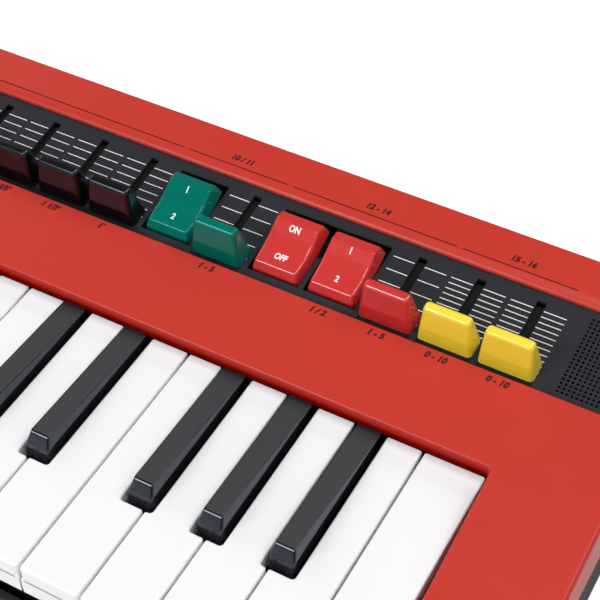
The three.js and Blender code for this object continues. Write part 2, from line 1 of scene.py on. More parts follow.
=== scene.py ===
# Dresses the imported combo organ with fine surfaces, finishes, light and a camera.
# Metres in Blender, with sizes in the settings given in millimetres and turned by mm.
# Deck places are (x, t, n): t runs up the slope from the keyboard's rear edge, n stands off
# the black strip.
import math
import bpy
import bmesh
import numpy as np
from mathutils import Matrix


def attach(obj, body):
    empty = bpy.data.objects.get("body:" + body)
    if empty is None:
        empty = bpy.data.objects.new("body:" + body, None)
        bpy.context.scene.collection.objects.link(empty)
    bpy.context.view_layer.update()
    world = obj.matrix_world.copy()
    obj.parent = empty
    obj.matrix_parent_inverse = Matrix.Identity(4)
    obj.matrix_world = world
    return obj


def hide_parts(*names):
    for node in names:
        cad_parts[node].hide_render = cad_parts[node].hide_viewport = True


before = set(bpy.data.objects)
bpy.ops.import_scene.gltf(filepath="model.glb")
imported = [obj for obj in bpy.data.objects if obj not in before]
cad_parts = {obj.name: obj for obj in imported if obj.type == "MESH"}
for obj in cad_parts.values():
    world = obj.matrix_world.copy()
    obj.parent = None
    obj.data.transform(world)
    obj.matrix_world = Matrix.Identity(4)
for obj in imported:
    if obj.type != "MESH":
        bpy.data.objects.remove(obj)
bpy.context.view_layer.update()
print("stage: frame loaded")

mm = 0.001
quarter = math.pi / 2
plainWhite = (1.0, 1.0, 1.0, 1.0)

organ = {
    "keyPitch": 20.7,
    "whiteKeys": 22,
    "keyLineY": 5.0,
    "keyTop": 36.5,
    "stripRise": 6.26,
    "deckSlope": math.radians(9.0),
    "cheekRise": 1.5,
    "frontY": -87.5,
    "rearY": 87.5,
    "halfWidth": 265.0,
    "seam": 22.0,
    "seamGap": 0.3,
    "foot": 2.6,
    "stripDepth": 2.5,
}
slopeTangent = math.tan(organ["deckSlope"])
deckTopAtKeys = (organ["keyTop"] + organ["stripRise"]
                 + organ["stripDepth"] / math.cos(organ["deckSlope"]))
keyboardHalf = organ["keyPitch"] * organ["whiteKeys"] / 2

view = {
    "place": (0.31488, -0.25674, 0.39756),
    "turnDegrees": (43.7187, 0.658, 29.001),
    "lens": 91.25,
}
# Each lamp stands off the aim by its distance along its direction. The strip lamp gives the
# thin bright lines on ridges and front edges, the front one the paler upper half of the
# rockers, the top one the even light on deck and keys, rearRight the lines on right edges,
# and the left and the right one fill.
light = {
    "world": 0.14,
    "aim": (0.13, 0.0, 0.045),
    "lamps": {
        "strip": {"energy": 7.3, "size": (0.55, 0.4), "toward": (-0.342, -0.75, 0.566),
                  "distance": 1.35},
        "front": {"energy": 2.4, "size": (0.85, 0.8), "toward": (-0.342, -0.72, 0.6),
                  "distance": 1.36},
        "top": {"energy": 6.8, "size": (0.7, 0.6), "toward": (0.2, -0.13, 1.0),
                "distance": 1.3},
        "left": {"energy": 3.2, "size": (0.9, 1.0), "toward": (-0.85, 0.25, 0.5),
                 "distance": 1.3},
        "rearRight": {"energy": 4.6, "size": (0.4, 0.58), "toward": (0.5, 0.42, 0.75),
                      "distance": 1.3},
        "right": {"energy": 1.7, "size": (0.9, 0.8), "toward": (0.8, -0.35, 0.55),
                  "distance": 1.4},
    },
    "floorHalf": 6.0,
    "floorWhite": 0.9,
    "floorGlow": (0.45, 1.0),
    "floorReach": (0.6, 2.6),
}


def linked(name, data):
    # a new object for the data, in the scene
    made = bpy.data.objects.new(name, data)
    bpy.context.scene.collection.objects.link(made)
    return made


def fillSockets(tree, node, sockets):
    # each socket takes a constant, or a link where the value is another node's output
    for key, value in sockets.items():
        if isinstance(value, bpy.types.NodeSocket):
            tree.links.new(value, node.inputs[key])
        else:
            node.inputs[key].default_value = value


def wired(tree, kind, sockets, **settings):
    # a new node with its settings and sockets; gives its outputs
    node = tree.nodes.new("ShaderNode" + kind)
    for key, value in settings.items():
        setattr(node, key, value)
    fillSockets(tree, node, sockets)
    return node.outputs


def ranged(tree, value, start, end, low, high, kind="LINEAR"):
    # the value's way from start to end carried over to low and high
    return wired(tree, "MapRange", {"Value": value, "From Min": start, "From Max": end,
                                    "To Min": low, "To Max": high},
                 interpolation_type=kind)["Result"]


def product(tree, first, second):
    return wired(tree, "Math", {0: first, 1: second}, operation="MULTIPLY")["Value"]


def mixed(tree, share, first, second):
    return wired(tree, "Mix", {"Factor": share, "A": first, "B": second},
                 data_type="RGBA")["Result"]


def setCamera():
    data = bpy.data.cameras.new("camera")
    data.lens = view["lens"]
    data.sensor_width = 36.0
    data.clip_start = 0.01
    data.clip_end = 50.0
    camera = linked("camera", data)
    camera.location = view["place"]
    camera.rotation_euler = [math.radians(angle) for angle in view["turnDegrees"]]
    bpy.context.scene.camera = camera


def setLamps():
    for name, settings in light["lamps"].items():
        data = bpy.data.lights.new(name + "Lamp", "AREA")
        data.shape = "RECTANGLE"
        data.size, data.size_y = settings["size"]
        data.energy = settings["energy"]
        lamp = linked(name + "Lamp", data)
        away = np.array(settings["toward"]) / np.linalg.norm(settings["toward"])
        lamp.location = np.array(light["aim"]) + away * settings["distance"]
        # from pointing down, first about x by the arc sine of the share along y, then about y
        lamp.rotation_euler = (math.asin(-away[1]), math.atan2(away[0], away[2]), 0.0)


def setWorld():
    world = bpy.data.worlds.new("softWhite")
    bpy.context.scene.world = world
    world.use_nodes = True
    tree = world.node_tree
    tree.nodes.clear()
    seen = wired(tree, "LightPath", {})["Is Camera Ray"]
    plain, bright = (
        wired(tree, "Background", {"Color": plainWhite, "Strength": strength})["Background"]
        for strength in (light["world"], 1.0))
    mix = wired(tree, "MixShader", {"Fac": seen, 1: plain, 2: bright})["Shader"]
    wired(tree, "OutputWorld", {"Surface": mix})


def setFloor():
    material = bpy.data.materials.new("paleFloor")
    material.use_nodes = True
    tree = material.node_tree
    tree.nodes.clear()
    # the floor's own white grows with the distance from the organ
    place = wired(tree, "TexCoord", {})["Object"]
    away = wired(tree, "VectorMath", {0: place}, operation="LENGTH")["Value"]
    white = ranged(tree, away, *light["floorReach"], *light["floorGlow"])
    strength = product(tree, wired(tree, "LightPath", {})["Is Camera Ray"], white)
    glow = wired(tree, "Emission", {"Color": plainWhite, "Strength": strength})["Emission"]
    pale = (light["floorWhite"],) * 3 + (1.0,)
    diffuse = wired(tree, "BsdfDiffuse", {"Color": pale})["BSDF"]
    both = wired(tree, "AddShader", {0: diffuse, 1: glow})["Shader"]
    wired(tree, "OutputMaterial", {"Surface": both})
    mesh = bpy.data.meshes.new("paleFloor")
    corners = np.array([[-1, -1, 0], [1, -1, 0], [1, 1, 0], [-1, 1, 0]]) * light["floorHalf"]
    mesh.from_pydata(corners.tolist(), [], [[0, 1, 2, 3]])
    mesh.materials.append(material)
    floor = linked("paleFloor", mesh)


setCamera()
setWorld()
setFloor()
setLamps()
print("stage: camera, world and floor")


def linear(red, green, blue):
    # screen colour from 0 to 255 as linear light
    share = np.array([red, green, blue]) / 255.0
    bright = ((share + 0.055) / 1.055) ** 2.4
    return tuple(np.where(share <= 0.04045, share / 12.92, bright)) + (1.0,)


def surface(colour, rough, roughSpread, gloss, grain, grainHeight, cloud, **more):
    # gloss is the specular level, grain and grainHeight the size and depth in mm of the moulded
    # texture, and cloud the share by which the colour drifts
    return {"colour": colour, "rough": rough, "roughSpread": roughSpread, "gloss": gloss,
            "grain": grain, "grainHeight": grainHeight, "cloud": cloud, **more}


def polished(colour, rough, gloss, **more):
    return surface(colour, rough, 0.03, gloss, 2.0, 0.002, 0.02, **more)


# On redShell a darker colour is painted down the lip's face as shade; on whiteKey glow is painted
# light, an emission that hides the lip's shadow on the keys: where it starts and ends along y,
# its strength, and where it starts and is full under the keys' top
finishes = {
    "redShell": surface((192, 55, 44), 0.32, 0.05, 0.25, 0.45, 0.012, 0.02, shade=(120, 4, 2)),
    "blackStrip": surface((39, 40, 45), 0.6, 0.06, 0.22, 0.3, 0.01, 0.05),
    "darkBase": surface((36, 37, 40), 0.62, 0.06, 0.3, 0.6, 0.03, 0.06),
    "whiteKey": surface((240, 240, 242), 0.25, 0.04, 0.4, 4.0, 0.004, 0.006,
                        glow=(-3.5, 5.2, 0.34, 0.5, 0.05)),
    "blackKeyTop": surface((60, 60, 63), 0.55, 0.06, 0.3, 0.3, 0.012, 0.05),
    "blackKeySide": polished((16, 16, 18), 0.16, 0.8, glossTint=(0.72, 0.82, 1.0)),
    "blackCap": polished((14, 12, 16), 0.13, 0.6, glossTint=(0.76, 0.84, 1.0)),
    "greenCap": polished((0, 110, 95), 0.11, 0.5, glossTint=(0.32, 0.82, 0.95)),
    "redCap": polished((204, 52, 50), 0.16, 0.75),
    "yellowCap": polished((246, 221, 62), 0.18, 0.75),
    "whiteInk": surface((235, 236, 238), 0.5, 0.04, 0.3, 0.4, 0.002, 0.03),
    "darkInk": surface((52, 16, 14), 0.5, 0.04, 0.3, 0.4, 0.002, 0.05),
    "dustCloth": surface((36, 37, 40), 0.85, 0.08, 0.15, 0.5, 0.05, 0.2),
    "keyTail": surface((20, 20, 22), 0.7, 0.06, 0.2, 0.6, 0.02, 0.06),
    "rubber": surface((22, 22, 23), 0.8, 0.06, 0.2, 0.5, 0.03, 0.1),
    "steel": surface((150, 150, 152), 0.32, 0.05, 0.5, 0.8, 0.004, 0.04, metal=1.0),
}


def mouldedPlastic(name):
    # fine grain as bump, and one soft cloud in the colour and the roughness
    settings = finishes[name]
    material = bpy.data.materials.new(name)
    material.use_nodes = True
    tree = material.node_tree
    place = wired(tree, "TexCoord", {})["Object"]
    cloud = wired(tree, "TexNoise", {"Vector": place, "Scale": 45.0, "Detail": 3.0})["Fac"]
    colour = np.array(linear(*settings["colour"]))[:3]
    dark, pale = (tuple(colour * (1.0 + side * settings["cloud"])) + (1.0,) for side in (-1, 1))
    tint, gloss = mixed(tree, cloud, dark, pale), settings["gloss"]
    sockets = {"Metallic": settings.get("metal", 0.0),
               "Specular Tint": settings.get("glossTint", (1, 1, 1)) + (1.0,)}
    if "shade" in settings:
        # painted shade: the point's own share turns the colour to the darker one and takes the
        # gloss away
        share = wired(tree, "Attribute", {}, attribute_name="lipPaintedShade")["Fac"]
        tint = mixed(tree, share, tint, linear(*settings["shade"]))
        gloss = wired(tree, "Math", {0: share, 1: -gloss, 2: gloss},
                      operation="MULTIPLY_ADD")["Value"]
    if "glow" in settings:
        # painted light: an emission on the keys' top layer that hides the lip's shadow, growing
        # with y
        start, end, strength, deep, thin = settings["glow"]
        parts, top = wired(tree, "SeparateXYZ", {"Vector": place}), organ["keyTop"]
        fade = ranged(tree, parts["Y"], start * mm, end * mm, 0.0, strength, "SMOOTHSTEP")
        upper = ranged(tree, parts["Z"], (top - deep) * mm, (top - thin) * mm, 0.0, 1.0)
        sockets["Emission Color"] = plainWhite
        sockets["Emission Strength"] = product(tree, fade, upper)
    rough, spread = settings["rough"], settings["roughSpread"]
    rough = ranged(tree, cloud, 0.0, 1.0, rough - spread, rough + spread)
    grain = wired(tree, "TexNoise", {"Vector": place, "Scale": 1.0 / (settings["grain"] * mm),
                                     "Detail": 2.0})["Fac"]
    bump = wired(tree, "Bump", {"Height": grain, "Strength": 0.6,
                                "Distance": settings["grainHeight"] * mm})["Normal"]
    sockets.update({"Base Color": tint, "Specular IOR Level": gloss, "Roughness": rough,
                    "Normal": bump})
    fillSockets(tree, tree.nodes["Principled BSDF"], sockets)
    return material


materials = {name: mouldedPlastic(name) for name in finishes}
print("stage: finishes")


def roundedLoop(corners, radii, inset, steps):
    # Points round a polygon listed anticlockwise. Each corner is an arc between its two edge
    # normals, about a centre that keeps the arc tangent, and the whole loop is moved in by inset.
    corners = np.asarray(corners, float)
    radii = np.broadcast_to(np.asarray(radii, float), len(corners))
    before = corners - np.roll(corners, 1, axis=0)
    after = np.roll(corners, -1, axis=0) - corners
    before = before / np.linalg.norm(before, axis=1)[:, None]
    after = after / np.linalg.norm(after, axis=1)[:, None]
    normalIn = np.stack([before[:, 1], -before[:, 0]], axis=1)
    normalOut = np.stack([after[:, 1], -after[:, 0]], axis=1)
    turn = before[:, 0] * after[:, 1] - before[:, 1] * after[:, 0]
    side = np.where(turn >= 0, 1.0, -1.0)
    reach = np.where(side > 0, np.maximum(radii, inset), np.maximum(radii, -inset))
    middle = (normalIn + normalOut) / (1 + (normalIn * normalOut).sum(1))[:, None]
    centre = corners - (side * reach)[:, None] * middle
    start = np.arctan2(normalIn[:, 1], normalIn[:, 0])
    swing = np.arctan2(turn, (before * after).sum(1))
    angle = start[:, None] + swing[:, None] * np.linspace(0, 1, steps + 1)[None, :]
    arm = (side * reach - inset)[:, None, None]
    points = centre[:, None, :] + arm * np.stack([np.cos(angle), np.sin(angle)], axis=2)
    return points.reshape(-1, 2)


def roundedPath(points, radii, steps):
    # an open line with each inner corner turned into an arc that is tangent to both sides
    points = np.asarray(points, float)
    loop = roundedLoop(points, [0.01] + list(radii) + [0.01], 0.0, steps)
    return np.vstack([points[:1], loop[steps + 1:-steps - 1], points[-1:]])


def rectangle(half, front, rear):
    return [(-half, front), (half, front), (half, rear), (-half, rear)]


def quarterTurn(size, steps):
    # a quarter circle's way in, by its cosine, and what is left of its way up, by its sine
    turn = np.linspace(0, quarter, steps + 1)
    return size * (1 - np.cos(turn)), size * (1 - np.sin(turn))


def unitCircle(steps):
    angle = np.arange(steps) / steps * 2 * math.pi
    return np.cos(angle), np.sin(angle)


def ringQuads(ringCount, pointCount):
    # quads between neighbouring rings of points
    ring = np.arange(ringCount - 1)[:, None] * pointCount
    here = np.arange(pointCount)[None, :]
    following = (here + 1) % pointCount
    return np.stack([ring + here, ring + following, ring + pointCount + following,
                     ring + pointCount + here], axis=-1).reshape(-1, 4)


def ringFaces(ringCount, pointCount):
    # the quads, and one closing face on the first and on the last ring
    first = np.arange(pointCount)
    last = first + (ringCount - 1) * pointCount
    return ringQuads(ringCount, pointCount).tolist() + [first[::-1].tolist(), last.tolist()]


def onDeck(points):
    # (x, t, n) in mm to the organ's frame in metres: t and n are turned by the deck's slope
    points = np.asarray(points, float)
    cosine, sine = math.cos(organ["deckSlope"]), math.sin(organ["deckSlope"])
    x, t, n = points[..., 0], points[..., 1], points[..., 2]
    y = organ["keyLineY"] + t * cosine - n * sine
    z = organ["keyTop"] + organ["stripRise"] + t * sine + n * cosine
    return np.stack([x, y, z], axis=-1) * mm


def reshaped(mesh, change):
    # the same mesh after a change of its bmesh
    shape = bmesh.new()
    shape.from_mesh(mesh)
    change(shape)
    shape.to_mesh(mesh)
    shape.free()
    return mesh


def valuesOf(items, attribute, width=3):
    flat = np.zeros(len(items) * width, np.float32)
    items.foreach_get(attribute, flat)
    return flat.reshape(-1, width).astype(float)


def plainMesh(name, points, faces):
    # doubles merged, and faces turned outward where the volume comes out negative
    def closed(shape):
        bmesh.ops.remove_doubles(shape, verts=shape.verts, dist=1e-6)
        if shape.calc_volume(signed=True) < 0:
            bmesh.ops.reverse_faces(shape, faces=shape.faces)

    mesh = bpy.data.meshes.new(name)
    mesh.from_pydata(np.asarray(points).reshape(-1, 3).tolist(), [], faces)
    return reshaped(mesh, closed)


def stackedMesh(name, loops, heights, place=None):
    # flat loops, each at its own height, joined ring by ring into a closed mesh
    rings = np.array([np.column_stack([loop, np.full(len(loop), height)])
                      for loop, height in zip(loops, heights)])
    return plainMesh(name, rings * mm if place is None else place(rings),
                     ringFaces(*rings.shape[:2]))


def blockMesh(low, high, place=None):
    # a closed block between two corners in mm, in the organ's frame or the deck's
    (x0, y0, z0), (x1, y1, z1) = low, high
    base = np.array([(x0, y0), (x1, y0), (x1, y1), (x0, y1)], float)
    return stackedMesh("block", [base, base], [z0, z1], place)


def spanMesh(half, near, far, low, high, place=None):
    return blockMesh((-half, near, low), (half, far, high), place)


def softenEdges(mesh, sharpDegrees):
    # smooth shading, broken where two faces meet at more than the given angle
    def soften(shape):
        for face in shape.faces:
            face.smooth = True
        for edge in shape.edges:
            edge.smooth = (len(edge.link_faces) == 2
                           and edge.calc_face_angle(0.0) < math.radians(sharpDegrees))

    reshaped(mesh, soften)


def addPiece(name, made, finish, body, stands=(), sharpDegrees=38):
    # made is a mesh, a list of meshes, or a pair of points in metres and faces
    if isinstance(made, tuple):
        made = plainMesh(name, *made)
    mesh = joined(name, made) if isinstance(made, list) else made
    softenEdges(mesh, sharpDegrees)
    if not mesh.materials:
        mesh.materials.append(materials[finish])
    piece = linked(name, mesh)
    shading = piece.modifiers.new("evenShading", "WEIGHTED_NORMAL")
    shading.keep_sharp = True
    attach(piece, body)
    if stands:
        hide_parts(*stands)
    return piece


def sweptAcross(shape, cornerSteps, footCorners=0):
    # A side outline of (y, z) points carried across x. Near each side the outline is drawn in
    # by the cosine of a quarter turn while x follows its sine, which rounds the side edges. x
    # narrows with the height, by the lean at the crest. The first footCorners corners keep
    # their height, so upright edges are rounded down to the foot.
    halfWidth, sideRound, corners = shape["width"] / 2, shape["sideRound"], shape["corners"]
    insets, short = quarterTurn(sideRound, 6)
    sides = list(zip(insets, halfWidth - short))
    flat = footCorners * (cornerSteps + 1)
    rings = []
    for inset, x in [(inset, -x) for inset, x in sides[::-1]] + sides:
        outline = roundedLoop(corners, shape["rounds"], inset, cornerSteps)
        outline[:flat, 1] = corners[0][1]
        rings.append(np.column_stack([np.full(len(outline), x), outline]))
    rings = np.array(rings)
    foot, crest = corners[0][1], corners[shape["crestCorner"]][1]
    rings[..., 0] *= 1 - shape["sideLean"] / halfWidth * (rings[..., 2] - foot) / (crest - foot)
    return rings, ringFaces(*rings.shape[:2])


def baked(piece):
    # the mesh that an object's modifiers give; the object itself goes
    graph = bpy.context.evaluated_depsgraph_get()
    result = bpy.data.meshes.new_from_object(piece.evaluated_get(graph))
    bpy.data.objects.remove(piece)
    return result


def cutAway(mesh, cutters, operation="DIFFERENCE"):
    # exact boolean of closed meshes, kept as a new mesh
    target = linked("cutTarget", mesh)
    helpers = [linked("cutHelper", cutter) for cutter in cutters]
    for helper in helpers:
        modifier = target.modifiers.new("cut", "BOOLEAN")
        modifier.operation = operation
        modifier.solver = "EXACT"
        modifier.object = helper
    result = baked(target)
    for helper in helpers:
        bpy.data.objects.remove(helper)
    return result


def joined(name, meshes):
    shape = bmesh.new()
    for mesh in meshes:
        shape.from_mesh(mesh)
        bpy.data.meshes.remove(mesh)
    result = bpy.data.meshes.new(name)
    shape.to_mesh(result)
    shape.free()
    return result


# Red top case. It is first made under a level top at height zero, and then every point is
# raised by the height of the case's top at its y: the deck's slope, which bends to level cheeks.
caseShape = {
    "cornerRadius": 9.0,
    "edgeRound": 1.6,
    "wall": 2.4,
    "deckThickness": 2.2,
    "bendHeight": 2.0,
    "bendCuts": (-55.5, -26.5, 15),
    "bayHalf": 229.3,
    "bayFlare": 0.8,
    "bayCorner": 1.4,
    "lipRearY": 6.9,
    "rearLean": 1.7,
    # painted shade on the lip's face: where it starts and where it is full, in mm below the top
    "lipPaintedShade": (0.2, 2.3),
    "lipProfile": [(7.6, -5.3), (3.35, -4.75), (2.62, -2.5), (3.98, 0.004), (4.6, 0.004),
                   (4.6, 8.0)],
    "lipRounds": [0.35, 1.8, 0.8, 0.05],
    "stripEnd": 260.0,
    "stripFront": 29.3,
    "stripRear": 64.6,
    "stripRearRun": 5.0,
    "rimRound": 0.5,
    "stripCorner": 1.2,
}
farBelow = -1000.0
beyond = 8.0  # how far a cutter passes what it cuts
overlap = 1.0  # how far a form reaches into its neighbour


def topHeight(y):
    # the deck's plane behind and the cheeks' level in front, with a parabola between the two
    level = organ["keyTop"] + organ["cheekRise"]
    over = deckTopAtKeys + (y - organ["keyLineY"]) * slopeTangent - level
    bend = caseShape["bendHeight"]
    return level + np.where(over > bend, over,
                            np.where(over < -bend, 0.0, (over + bend) ** 2 / (4 * bend)))


def flared(size, over):
    # how far a quarter circle of the given size has run out at its share of the height
    return size * (1 - math.sqrt(1 - np.clip(over, 0, 1) ** 2))


def levelPrism(wall, low, high, edgeRound, footRound=0.0):
    # the case's plan, drawn in by the wall and raised from low to high; its last rings turn in
    # along a quarter circle, and so do its first ones where footRound is given
    corners = rectangle(organ["halfWidth"] - wall, organ["frontY"] + wall, organ["rearY"] - wall)
    radius = caseShape["cornerRadius"] - wall
    up, insets = quarterTurn(footRound, 6) if footRound > 0 else (0.0, 0.0)
    drawn, down = quarterTurn(edgeRound, 6) if edgeRound > 0 else (0.0, 0.0)
    insets, heights = np.append(insets, drawn), np.append(low + up, high - down)
    return stackedMesh("prism", [roundedLoop(corners, radius, inset, 8) for inset in insets],
                       heights)


def bayCutter():
    # the key bay: upright walls that flare out to the top along a quarter circle, and a rear
    # edge that follows the lip's rounded profile
    shape = caseShape
    profile = roundedPath(shape["lipProfile"], shape["lipRounds"], 6)
    profile = np.vstack([[profile[0, 0], farBelow - 20], profile])
    radii = [0.5, 0.5, shape["bayCorner"], shape["bayCorner"]]
    loops = []
    for rear, z in profile:
        half = shape["bayHalf"] + flared(shape["bayFlare"], 1 + z / shape["bayFlare"])
        loops.append(roundedLoop(rectangle(half, organ["frontY"] - beyond, rear), radii, 0.0, 6))
    return stackedMesh("bayCutter", loops, profile[:, 1])


def raisedToTop(mesh, low):
    # cuts the mesh across where the top bends, leans the rear wall's top forward, then moves
    # every point up by the top's height
    def cutAcross(shape):
        for y in np.linspace(*caseShape["bendCuts"]):
            bmesh.ops.bisect_plane(shape, geom=shape.verts[:] + shape.edges[:] + shape.faces[:],
                                   plane_co=(0, y * mm, 0), plane_no=(0, 1, 0))

    places = valuesOf(reshaped(mesh, cutAcross).vertices, "co") / mm
    below = places[:, 2] < farBelow / 2
    radius = caseShape["cornerRadius"]
    share = np.clip((places[:, 1] - organ["rearY"] + radius) / radius, 0, 1)
    places[:, 1] -= np.where(below, 0, share * caseShape["rearLean"])
    places[:, 2] = np.where(below, low, places[:, 2] + topHeight(places[:, 1]))
    mesh.vertices.foreach_set("co", (places * mm).astype(np.float32).ravel())
    mesh.update()
    return mesh


def stripCutter():
    # the sunk place of the strip: upright walls with a small rim at the front and the ends, and
    # a rear wall that rolls back to the deck along a quarter ellipse
    shape = caseShape
    depth, rim, low = organ["stripDepth"], shape["rimRound"], 0.3
    run, short = quarterTurn(1.0, 12)
    heights = np.concatenate([[-6.0], depth - (depth - low) * short, [depth + 6]])
    rears = shape["stripRear"] + shape["stripRearRun"] * np.concatenate([[0.0], run, run[-1:]])
    loops = []
    for height, rear in zip(heights, rears):
        flare = flared(rim, (height - depth + rim) / rim)
        corners = rectangle(shape["stripEnd"] + flare, shape["stripFront"] - flare, rear)
        loops.append(roundedLoop(corners, shape["stripCorner"], 0.0, 6))
    return stackedMesh("stripCutter", loops, heights, onDeck)


def withLipPaintedShade(mesh):
    # a share of painted shade from 0 to 1 at every point, growing down the lip's face, that its
    # finish reads
    reshaped(mesh, lambda shape: bmesh.ops.dissolve_degenerate(shape, dist=1e-6,
                                                               edges=shape.edges))
    x, y, z = (valuesOf(mesh.vertices, "co") / mm).T
    start, end = caseShape["lipPaintedShade"]
    share = np.clip((topHeight(y) - z - start) / (end - start), 0, 1)
    atLip = (np.abs(x) < caseShape["bayHalf"] + 0.01) & (y > 1.0) \
        & (y < caseShape["lipRearY"] + 0.1)
    layer = mesh.attributes.new("lipPaintedShade", "FLOAT", "POINT")
    layer.data.foreach_set("value", np.where(atLip, share, 0.0).astype(np.float32))
    return mesh


def makeTopCase():
    shape = caseShape
    wall = shape["wall"]
    thickness = shape["deckThickness"] / math.cos(organ["deckSlope"])
    slab = levelPrism(0.0, farBelow, 0.0, shape["edgeRound"])
    core = levelPrism(wall, farBelow - beyond, -thickness, 0.0)
    bayWall = spanMesh(shape["bayHalf"] + wall, organ["frontY"] - beyond, shape["lipRearY"],
                       farBelow - 30, 30)
    case = cutAway(slab, [cutAway(core, [bayWall]), bayCutter()])
    case = cutAway(raisedToTop(case, organ["seam"] + organ["seamGap"]), [stripCutter()])
    addPiece("topCaseShell", withLipPaintedShade(case), "redShell", "case",
             ["top_case"], 30)


makeTopCase()
print("stage: top case")

# Black strip with its slots, openings and grilles
strip = {
    "thickness": 1.2,
    "halfWidth": 262.0,
    "margin": 3.0,
    "slotFront": 34.6,
    "slotRear": 61.2,
    "slotWidth": 3.1,
    "openingFront": 33.45,
    "openingRear": 60.6,
    "openingWidth": 18.8,
    "dividerEnd": 47.0,
    "boreRadius": 3.4,
    "grilleFirst": 235.45,
    "grillePitch": (1.5825, 1.592),
    "grilleColumns": 15,
    "grilleRows": 19,
    "grilleRear": 61.5,
    "grilleHole": 0.5,
    "dustSheet": (31.0, 64.0, -8.6, -8.2),
    "grilleCloth": (233.5, 259.5, 31.0, 63.5, -1.85, -1.6),
}
slotPitch = 20.53
lastSlot = keyboardHalf - 9.1
footageX = [lastSlot + (place - 15) * slotPitch for place in range(9)]
leftFirst = 15.15 - keyboardHalf
leftPitch = (footageX[0] - leftFirst) / 4
rightControls = ("vibratoRocker", "depthLever", "percussionRocker", "typeRocker", "lengthLever",
                 "driveLever", "reverbLever")
leftControls = ("octaveLever", "volumeLever", "knob", "rotaryLever")
controlX = {name: lastSlot + (place - 6) * slotPitch
            for place, name in enumerate(rightControls)}
controlX.update({name: leftFirst + place * leftPitch
                 for place, name in enumerate(leftControls)})
# lever: body, finish, slot and the rows of its dashes
levers = {
    "depthLever": ("vibrato_depth_lever", "greenCap", "green_cap", "depth"),
    "lengthLever": ("percussion_length_lever", "redCap", "red_cap", "depth"),
    "driveLever": ("drive_lever", "yellowCap", "yellow_cap", "effect"),
    "reverbLever": ("reverb_lever", "yellowCap", "yellow_cap", "effect"),
    "rotaryLever": ("rotary_speaker_lever", "blackCap", "black_cap", "depth"),
    "volumeLever": ("volume_lever", "blackCap", "black_cap", "effect"),
    "octaveLever": ("octave_lever", "blackCap", "black_cap", "depth"),
}
# rocker: body, finish, slot and its two marks
rockers = {
    "vibratoRocker": ("vibrato_rocker", "greenCap", "green_cap", ("1", "2")),
    "percussionRocker": ("percussion_rocker", "redCap", "red_cap", ("ON", "OFF")),
    "typeRocker": ("percussion_type_rocker", "redCap", "red_cap", ("1", "2")),
}


def merged(parts):
    # (points, faces) pairs as one pair, with the faces' corners counted on
    starts = np.cumsum([0] + [len(points) for points, _ in parts]).tolist()
    faces = [[corner + start for corner in face]
             for (_, sides), start in zip(parts, starts) for face in sides]
    return np.concatenate([points for points, _ in parts]), faces


def grilleCells(sign):
    # Every cell runs from its square border to the rim of its round hole, down the hole's wall
    # and back to the border underneath; the cells are one array, moved by column and row.
    steps = 16
    circle = np.stack(unitCircle(steps), axis=1)
    pitch = np.array(strip["grillePitch"])
    square = circle / np.abs(circle).max(axis=1)[:, None] * pitch / 2
    hole = circle * strip["grilleHole"]
    cell = np.zeros((4, steps, 3))
    cell[..., :2] = np.array([square, hole, hole, square])
    cell[2:, :, 2] = -strip["thickness"]
    column = np.arange(strip["grilleColumns"]) * pitch[0] + strip["grilleFirst"]
    row = strip["grilleRear"] - np.arange(strip["grilleRows"]) * pitch[1]
    grid = np.stack(np.meshgrid(column, row, [0.0], indexing="ij"), axis=-1).reshape(-1, 1, 1, 3)
    points = (grid + cell[None]).reshape(-1, 3)
    points[:, 0] *= sign
    quads = ringQuads(4, steps)[:, ::sign]
    quads = (np.arange(len(grid))[:, None, None] * 4 * steps + quads[None]).reshape(-1, 4)
    return points, quads.tolist()


